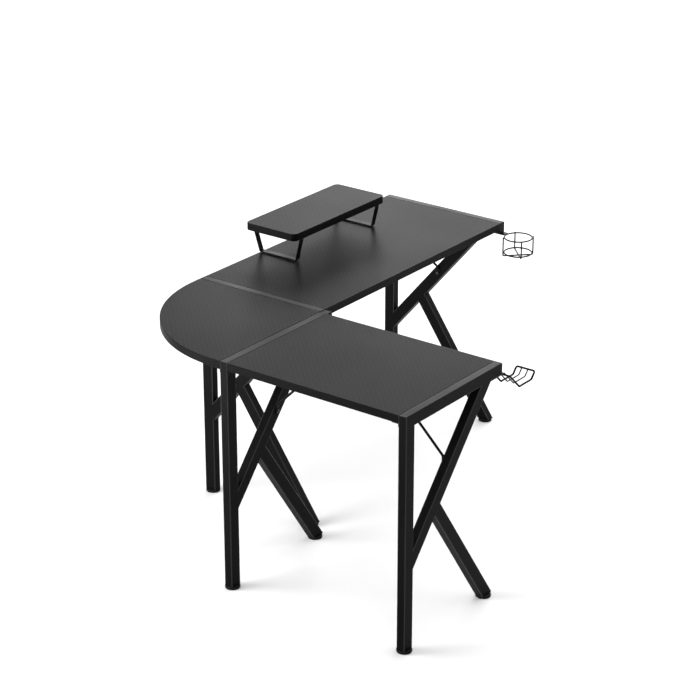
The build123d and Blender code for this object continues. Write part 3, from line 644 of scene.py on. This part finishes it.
def weld_beads(axes):
    """Rippled fillet welds across the inside corners of a frame."""
    corners = frame_corners(axes)
    bead_size, ripple, pitch = 3.4 * MM, 0.09, 2.1 * MM
    root = 0.4 * MM
    reach = tube_width / 2 - 1.6 * MM
    steps, taper_steps, end_share = 42, 3, 0.35
    bm = bmesh.new()
    for at, first, second in WELDS:
        corner = Vector(corners[at])
        a = (Vector(corners[first]) - corner).normalized()
        b = (Vector(corners[second]) - corner).normalized()
        between = (a + b).normalized()
        belly = (cos(a.angle(b) / 2) + 1) / 2
        near_a = (a * 0.6 + between * 0.4).normalized() * (belly + 1) / 2
        near_b = (b * 0.6 + between * 0.4).normalized() * (belly + 1) / 2
        rings = []
        for k in range(steps + 1):
            t = -reach + 2 * reach * k / steps
            taper = min(1.0, end_share + (1 - end_share) * min(k, steps - k) / taper_steps)
            size = bead_size * taper * (1 + ripple * sin(tau * t / pitch))
            section = [corner + way * size for way in (a, near_a, between * belly, near_b, b)]
            section.append(corner - between * root)
            rings.append([axes.point(p.x, t, p.y) for p in section])
        skin(bm, rings)
    piece(f"{axes.name}_weld_beads", bm, "frame_steel", sharp=60)


# ---------------------------------------------------------------- struts, ledges, caps, fasteners
def flat_ring(centre, wide, thick, half_wide, half_thick, power, sides=24):
    """A ring from an ellipse (power 2) to a flat bar with soft corners (power 6 or more)."""
    ring = []
    for k in range(sides):
        c, s = cos(tau * k / sides), sin(tau * k / sides)
        across = copysign(abs(c) ** (2 / power), c) * half_wide
        through = copysign(abs(s) ** (2 / power), s) * half_thick
        ring.append(centre + wide * across + thick * through)
    return ring


def smooth_share(value):
    """The value held to 0 to 1, with a soft start and end."""
    value = min(1.0, max(0.0, value))
    return value * value * (3 - 2 * value)


def spaced(path, gap):
    """The path with its longer runs divided into parts about as long as gap."""
    made = [path[0]]
    for a, b in zip(path, path[1:]):
        parts = max(1, int((b - a).length / gap))
        made += [a.lerp(b, (k + 1) / parts) for k in range(parts)]
    return made


def flattened_strut(axes):
    """Round bar whose two ends are pressed flat and bent, one on the brace and one under the rail."""
    low, high = axes.extent(f"{axes.name}_strut")
    rod, tab = 4 * MM, 1.5 * MM                  # half thicknesses of the bar and of its flat ends
    pressed, flare = 24 * MM, 15 * MM            # lengths of a flat end and of its change into the bar
    bend, gap = 6 * MM, 2 * MM
    s = (low[0] + high[0]) / 2
    tab_half, tip_half = (high[0] - low[0]) / 2, 1.2 * MM
    bend_z, bend_t = low[2] + 33 * MM, high[1] - 34 * MM
    route = [
        (low[1] + tab, low[2]),
        (low[1] + tab, bend_z - 8 * MM),
        (low[1] + rod, bend_z + 2 * MM),
        (bend_t - 2 * MM, high[2] - rod - 2 * MM),
        (bend_t + 8 * MM, high[2] - tab),
        (high[1], high[2] - tab),
    ]
    path = spaced(rounded([axes.point(s, t, z) for t, z in route], bend), gap)
    lengths = [0.0]
    for a, b in zip(path, path[1:]):
        lengths.append(lengths[-1] + (b - a).length)
    rings = []
    for i, point in enumerate(path):
        run = (path[min(i + 1, len(path) - 1)] - path[max(i - 1, 0)]).normalized()
        from_end = min(lengths[i], lengths[-1] - lengths[i])
        share = smooth_share((from_end - pressed) / flare)
        half_wide = tab_half + (rod - tab_half) * share
        if from_end < tab_half:
            half_wide = max(tip_half, sqrt(tab_half**2 - (tab_half - from_end) ** 2))
        half_thick = tab + (rod - tab) * share
        power = 6 - 4 * share
        rings.append(flat_ring(point, axes.along, run.cross(axes.along), half_wide, half_thick, power))
    bm = bmesh.new()
    skin(bm, rings)
    piece(f"{axes.name}_flattened_strut", bm, "bracket_steel", nodes=[f"{axes.name}_strut"], sharp=50)


def angle_ledges():
    """Folded steel angles along the beams, with a rounded fold."""
    thick, fold, fold_steps = 3 * MM, 3.6 * MM, 5
    beams = [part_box(f"{name}_beam") for name in FRAME_NAMES]
    bm = bmesh.new()
    for low, high, _ in solids("board_ledges"):
        size = high - low
        long_axis = 0 if size.x > size.y else 1
        short_axis = 1 - long_axis
        middle = (low + high) / 2
        beam_middle = min(((a + b) / 2 for a, b in beams), key=lambda place: (place - middle).length)
        away = 1 if middle[short_axis] > beam_middle[short_axis] else -1
        face = low[short_axis] if away > 0 else high[short_axis]
        flange = size[short_axis]
        section = [
            (0, low.z), (thick, low.z), (thick, high.z - thick), (flange, high.z - thick), (flange, high.z),
        ]
        turns = [k * pi / 2 / fold_steps for k in range(fold_steps, -1, -1)]
        fold_points = [(fold * (1 - cos(turn)), high.z - fold * (1 - sin(turn))) for turn in turns]
        rings = []
        for along in (low[long_axis], high[long_axis]):
            ring = []
            for out, z in section + fold_points:
                place = Vector((0, 0, z))
                place[long_axis] = along
                place[short_axis] = face + away * out
                ring.append(place)
            rings.append(ring)
        skin(bm, rings)
    piece("folded_ledges", bm, "bracket_steel", nodes=["board_ledges"], sharp=30)


CAP_PLATE = 2 * MM


def end_cap(bm, place, half_a, half_b, plug_depth):
    """A plastic tube cap: ribbed plug, plate with a soft rim and a shallow dish. Local Z points outwards."""
    wall = TUBE_WALL + 0.15 * MM
    soft = 0.7 * MM
    # distances in from the cap's sides, and heights
    levels = [
        (wall + 0.8 * MM, -CAP_PLATE - plug_depth), (wall, -CAP_PLATE - plug_depth + 1.5 * MM),
        (wall, -CAP_PLATE - 4 * MM), (wall - 0.1 * MM, -CAP_PLATE - 3.4 * MM),
        (wall, -CAP_PLATE - 2.8 * MM), (wall, -CAP_PLATE), (0.1 * MM, -CAP_PLATE),
        (0.0, -CAP_PLATE + 0.1 * MM), (0.0, -soft), (soft * 0.3, -soft * 0.3), (soft, 0.0),
        (4.2 * MM, 0.0), (4.8 * MM, -0.45 * MM),
    ]
    rings = []
    for inset, z in levels:
        radius = max(0.5 * MM, TUBE_ROUND - inset)
        outline = rounded_rectangle(half_a - inset, half_b - inset, radius)
        rings.append([place @ Vector((a, b, z)) for a, b in outline])
    skin(bm, rings)


def tube_caps(name, node):
    """Caps for every solid of a CAD cap node, each facing away from its tube."""
    bm = bmesh.new()
    for low, high, mean in solids(node):
        size = high - low
        along = 0 if size.x < size.y else 1
        across = 1 - along
        facing = Vector((0, 0, 0))
        middle = (low + high) / 2
        facing[along] = 1 if mean[along] > middle[along] else -1
        place = middle.copy()
        place[along] = high[along] if facing[along] > 0 else low[along]
        end_cap(bm, matrix_to(place, facing, UP), size.z / 2, size[across] / 2, size[along] - CAP_PLATE)
    piece(name, bm, "black_plastic", nodes=[node], sharp=40)


# profiles in millimetres: radius, height from the seat, and the outline where it isn't round
BOLT_PROFILE = (
    (1.0, 1.7, "hex"), (2.2, 1.75, "hex"), (2.3, 3.4, "hex"), (2.75, 3.6, "hex"), (3.7, 3.5), (4.6, 3.05),
    (5.3, 2.3), (5.75, 1.4), (5.95, 0.7), (6.0, 0.35), (5.9, 0.0), (3.0, 0.0), (3.0, -15.2), (2.4, -16.0),
)
SCREW_PROFILE = (
    (0.5, -1.1), (1.3, -1.15, "cross"), (2.2, -2.3, "cross"), (2.5, -2.4, "cross"), (3.2, -2.25),
    (3.7, -1.8), (3.95, -1.1), (4.0, -0.4), (3.9, 0.0), (2.0, 0.0),
)


def scaled_profile(profile):
    """A profile in millimetres turned into metres."""
    return [(radius * MM, z * MM, *shape) for radius, z, *shape in profile]


def button_bolts():
    """Button-head bolts with hexagon sockets, one for each solid of the CAD node."""
    bm = bmesh.new()
    head_height = 3.6 * MM
    for low, high, mean in solids("m6_bolts"):
        size, middle = high - low, (low + high) / 2
        axis = max(range(3), key=lambda i: size[i])
        facing = Vector((0, 0, 0))
        facing[axis] = 1 if mean[axis] > middle[axis] else -1
        seat = middle + facing * (size[axis] / 2 - head_height)
        turned(bm, scaled_profile(BOLT_PROFILE), matrix_to(seat, facing), 36)
    piece("button_head_bolts", bm, "black_fastener", nodes=["m6_bolts"], sharp=32)


def pan_screws(name, node, body="desk"):
    """Pan-head screws driven upwards, with a cross recess; the thread is in the board."""
    bm = bmesh.new()
    head_height, point_length = 2.4 * MM, 2 * MM
    stopped_at = 2.4    # radians from one screw's recess to the next one's
    for index, (low, high, _) in enumerate(solids(node)):
        middle = (low + high) / 2
        seat = Vector((middle.x, middle.y, low.z + head_height))
        turn = Matrix.Rotation(index * stopped_at, 4, "Z")
        shank = (2.0 * MM, high.z - seat.z - point_length)
        profile = [*scaled_profile(SCREW_PROFILE), shank, (0.6 * MM, high.z - seat.z)]
        turned(bm, profile, Matrix.Translation(seat) @ turn, 32)
    piece(name, bm, "black_fastener", body, [node], 32)


# ---------------------------------------------------------------- levelling feet
# radius and height above the floor, in millimetres
GLIDE_PROFILE = (
    (19.6, 0.0), (21.6, 0.25), (22.8, 0.9), (23.4, 1.9), (23.5, 2.9), (23.5, 3.3), (23.2, 3.5), (23.2, 3.8),
    (23.5, 4.0), (23.5, 7.3), (23.2, 8.3), (22.4, 9.1), (21.2, 9.55), (19.6, 9.7), (9.4, 9.7), (8.8, 9.4),
    (8.4, 9.2), (7.0, 9.2),
)


def levelling_foot(node):
    """A plastic glide with a parting line, and its threaded stem."""
    low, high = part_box(node)
    centre = (low + high) / 2
    ground = Matrix.Translation((centre.x, centre.y, low.z))
    bm = bmesh.new()
    turned(bm, scaled_profile(GLIDE_PROFILE), ground, 64)
    piece(f"{node}_glide", bm, "black_plastic", node, [node], 34)
    major, minor, pitch = 4.0 * MM, 3.4 * MM, 1.25 * MM
    runout = 1.5 * MM
    rows_per_turn, sides = 6, 20
    start, end = 9.0 * MM, high.z - low.z
    rows = int((end - start) / pitch * rows_per_turn)
    rings = []
    for row in range(rows + 1):
        z = start + (end - start) * row / rows
        thread_depth = (major - minor) * min(1.0, (end - z) / runout)
        ring = []
        for k in range(sides):
            phase = (z / pitch - k / sides) % 1
            radius = minor + thread_depth * (1 - abs(2 * phase - 1))
            ring.append(ground @ Vector((radius * cos(tau * k / sides), radius * sin(tau * k / sides), z)))
        rings.append(ring)
    bm = bmesh.new()
    skin(bm, rings)
    piece(f"{node}_threaded_stem", bm, "black_fastener", node, sharp=50)


# ---------------------------------------------------------------- monitor shelf supports
def bent_support(node):
    """A flat steel strip bent into a tapering U with two flanges, its ends cut with rounded corners."""
    low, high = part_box(node)
    thick, bend, gap, cut = 3 * MM, 4 * MM, 3 * MM, 3 * MM
    front_lean, back_lean, flange = 18 * MM, 25 * MM, 26 * MM
    inset = 1.4 * MM    # of the strip's middle from the box at the upper bends
    x = (low.x + high.x) / 2
    top_front, top_back = low.y + inset, high.y - inset
    floor_z, ceiling = low.z + thick / 2, high.z - thick / 2
    route = [
        (top_front + flange, ceiling), (top_front, ceiling), (top_front + front_lean, floor_z),
        (top_back - back_lean, floor_z), (top_back, ceiling), (top_back - flange, ceiling),
    ]
    path = spaced(rounded([Vector((x, y, z)) for y, z in route], bend), gap)
    half_wide = (high.x - low.x) / 2
    wide = Vector((1, 0, 0))
    rings = []
    for i, point in enumerate(path):
        run = (path[min(i + 1, len(path) - 1)] - path[max(i - 1, 0)]).normalized()
        from_end = min((point - path[0]).length, (point - path[-1]).length)
        half = half_wide
        if from_end < cut:
            half = half_wide - cut + sqrt(cut**2 - (cut - from_end) ** 2)
        rings.append(flat_ring(point, wide, run.cross(wide), half, thick / 2, power=9, sides=32))
    bm = bmesh.new()
    skin(bm, rings)
    piece(f"{node}_strip", bm, "bracket_steel", "monitor_shelf", [node], 50)


# ---------------------------------------------------------------- cup holder and hook rack
def nugget(bm, centre, run, length, radius):
    """A small blob of weld where two wires cross."""
    levels = 9
    turns = [pi * (k + 0.5) / levels for k in range(levels)]
    profile = [(radius * sin(turn), -length * cos(turn)) for turn in turns]
    turned(bm, profile, matrix_to(centre, run), 14)


def cup_holder():
    """Two rings and two crossing U-shaped wires under a plate on the main end beam."""
    ring_low, ring_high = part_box("cup_holder_rings")
    cradle_low, cradle_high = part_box("cup_holder_cradle")
    radius = 2.5 * MM
    centre = (ring_low + ring_high) / 2
    ring_radius = (ring_high.x - ring_low.x) / 2 - radius
    upright_radius = ((cradle_high.x - cradle_low.x) / 2 - radius) * sqrt(2)
    levels = (ring_high.z - radius, ring_low.z + radius)
    steps = 96
    turns = [tau * k / steps for k in range(steps)]
    bm = bmesh.new()
    for z in levels:
        middle = Vector((centre.x, centre.y, z))
        loop = [middle + Vector((cos(turn), sin(turn), 0)) * ring_radius for turn in turns]
        wire(bm, loop, radius, closed=True)
    # where each ring's ends are joined
    for z in levels:
        place = Vector((centre.x, centre.y + ring_radius, z))
        nugget(bm, place, Vector((-1, 0, 0)), 2.4 * MM, radius * 1.12)
    piece("cup_holder_ring_wires", bm, "coated_wire", nodes=["cup_holder_rings"], sharp=60)
    bm = bmesh.new()
    bend = 5 * MM
    touch_radius = (ring_radius + upright_radius) / 2
    for (dx, dy), base_z in (((1, 1), cradle_low.z + 3 * radius), ((1, -1), cradle_low.z + radius)):
        way = Vector((dx, dy, 0)).normalized()
        out = way * upright_radius
        top = Vector((centre.x, centre.y, cradle_high.z - 0.35 * radius))
        base = Vector((centre.x, centre.y, base_z))
        wire(bm, rounded([top - out, base - out, base + out, top + out], bend), radius)
        for side in (-1, 1):
            for z in levels:
                touch = Vector((centre.x, centre.y, z)) + way * side * touch_radius
                nugget(bm, touch, UP, 2.6 * MM, radius * 0.95)
    piece("cup_holder_cradle_wires", bm, "coated_wire", nodes=["cup_holder_cradle"], sharp=60)


def soft_plate(name, node):
    """A small steel plate with rounded corners."""
    low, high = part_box(node)
    centre = (low + high) / 2
    outline = rounded_rectangle((high.x - low.x) / 2, (high.y - low.y) / 2, 3 * MM)
    bm = bmesh.new()
    plate(bm, [Vector((centre.x + a, centre.y + b)) for a, b in outline], low.z, high.z)
    piece(name, bm, "bracket_steel", nodes=[node])


def hook_rack():
    """A thick wire loop with two thin wires inside it, shaped like a shallow cradle with a raised lip."""
    low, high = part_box("hook_outer_wire")
    thick, thin, bend = 3.0 * MM, 2.0 * MM, 6 * MM
    drop_reach, lip_reach, lip_rise = 52 * MM, 18.5 * MM, 20.5 * MM
    rear_x, lip_x = low.x + thick, high.x - thick
    seat_z = low.z + thick
    profile = [
        (rear_x, high.z - thick), (rear_x + drop_reach, seat_z), (lip_x - lip_reach, seat_z),
        (lip_x, seat_z + lip_rise),
    ]
    near_y, far_y = low.y + thick, high.y - thick
    loop = [Vector((x, near_y, z)) for x, z in profile]
    loop += [Vector((x, far_y, z)) for x, z in reversed(profile)]
    bm = bmesh.new()
    wire(bm, rounded(loop, bend, closed=True), thick, closed=True, sides=18)
    piece("hook_outer_loop", bm, "coated_wire", nodes=["hook_outer_wire"], sharp=60)
    # the inner wires lie on the outer one, sunk into it by the weld
    lift = thick + thin - 0.5 * MM
    lines = []
    for (xa, za), (xb, zb) in zip(profile, profile[1:]):
        run = Vector((xb - xa, zb - za)).normalized()
        lines.append((Vector((xa, za)) + Vector((-run.y, run.x)) * lift, run))

    def crossing(first, second):
        (p, u), (q, v) = first, second
        share = ((q.x - p.x) * v.y - (q.y - p.y) * v.x) / (u.x * v.y - u.y * v.x)
        return p + u * share

    last = Vector(profile[-1]) + Vector((-lines[2][1].y, lines[2][1].x)) * lift
    inner = [lines[0][0], crossing(lines[0], lines[1]), crossing(lines[1], lines[2]), last]
    bm = bmesh.new()
    for share in (1 / 3, 2 / 3):
        y = near_y + (far_y - near_y) * share
        path = rounded([Vector((p.x, y, p.y)) for p in inner], bend)
        wire(bm, path, thin, sides=14)
        for end in (path[0], path[-1]):
            nugget(bm, end, Vector((0, 1, 0)), 2.2 * MM, thin * 1.15)
    piece("hook_inner_loops", bm, "coated_wire", nodes=["hook_inner_wires"], sharp=60)


for axes in end_frames.values():
    welded_frame(axes)
    weld_beads(axes)
    flattened_strut(axes)
angle_ledges()
tube_caps("beam_caps", "beam_end_caps")
tube_caps("rail_caps", "rail_end_caps")
button_bolts()
pan_screws("ledge_wood_screws", "ledge_screws")
pan_screws("rail_wood_screws", "rail_screws")
pan_screws("shelf_wood_screws", "shelf_screws", "monitor_shelf")
for end_name in FRAME_NAMES:
    levelling_foot(f"foot_{end_name}_outer")
    levelling_foot(f"foot_{end_name}_inner")
bent_support("shelf_support_left")
bent_support("shelf_support_right")
cup_holder()
soft_plate("cup_holder_bracket", "cup_holder_plate")
hook_rack()
soft_plate("hook_bracket", "hook_plate")

# ---------------------------------------------------------------- studio
floor_half = 40.0
floor_bm = bmesh.new()
bmesh.ops.create_grid(floor_bm, x_segments=2, y_segments=2, size=floor_half)
floor_mesh = bpy.data.meshes.new("studio_floor")
floor_bm.to_mesh(floor_mesh)
floor_bm.free()
floor_object = bpy.data.objects.new("studio_floor", floor_mesh)
bpy.context.scene.collection.objects.link(floor_object)
floor_graph = Graph("studio_floor")
floor_mesh.materials.append(floor_graph.surface(grey(0.76), 0.9, Specular_IOR_Level=0.0))

world = bpy.data.worlds.new("studio")
bpy.context.scene.world = world
world.use_nodes = True
world.node_tree.nodes["Background"].inputs["Color"].default_value = (1, 1, 1, 1)
world.node_tree.nodes["Background"].inputs["Strength"].default_value = 0.6

# the lights stand round a point in the middle of the desk
lit_height = 0.5
lit_point = Vector(((cad_box[0].x + cad_box[1].x) / 2, (cad_box[0].y + cad_box[1].y) / 2, lit_height))


def softbox(name, azimuth, elevation, distance, width, height, power):
    """An area light round the desk. Azimuth is the direction it stands in, from +X towards +Y."""
    data = bpy.data.lights.new(name, "AREA")
    data.shape = "RECTANGLE"
    data.size, data.size_y = width, height
    data.energy = power
    lamp = bpy.data.objects.new(name, data)
    bpy.context.scene.collection.objects.link(lamp)
    a, e = radians(azimuth), radians(elevation)
    away = Vector((cos(a) * cos(e), sin(a) * cos(e), sin(e)))
    lamp.location = lit_point + away * distance
    lamp.rotation_mode = "QUATERNION"
    lamp.rotation_quaternion = (-away).to_track_quat("-Z", "Y")
    lamp.visible_camera = False


softbox("overhead", 60, 80, 6.0, width=7.0, height=7.0, power=150)
softbox("behind", 18, 16, 7.0, width=8.0, height=3.0, power=650)
softbox("left", 146, 4, 2.6, width=1.4, height=1.4, power=84)
softbox("right", -37, 4, 2.8, width=1.2, height=1.4, power=20)
# three more for the other sides
for side_name, side_azimuth in (("far_left", 122), ("front", 212), ("far_right", 302)):
    softbox(side_name, side_azimuth, 24, 7.0, width=5.0, height=2.6, power=110)

# ---------------------------------------------------------------- camera
camera_data = bpy.data.cameras.new("camera")
camera_data.sensor_width = 36
camera_data.lens = 116.955
camera_data.clip_end = 200
camera = bpy.data.objects.new("camera", camera_data)
bpy.context.scene.collection.objects.link(camera)
aim_x, aim_y, aim_height = 0.48052, 0.24393, 0.4    # from the floor under the inner corner of the L
target = Vector((corner_x + aim_x, corner_y + aim_y, aim_height))
view_azimuth, view_elevation, view_distance = radians(-53.234), radians(22.780), 7.5963
back = Vector((
    sin(view_azimuth) * cos(view_elevation),
    -cos(view_azimuth) * cos(view_elevation),
    sin(view_elevation),
))
camera.location = target + back * view_distance
camera.rotation_mode = "QUATERNION"
camera.rotation_quaternion = (-back).to_track_quat("-Z", "Y")
bpy.context.scene.camera = camera
bpy.context.scene.view_settings.view_transform = "Standard"
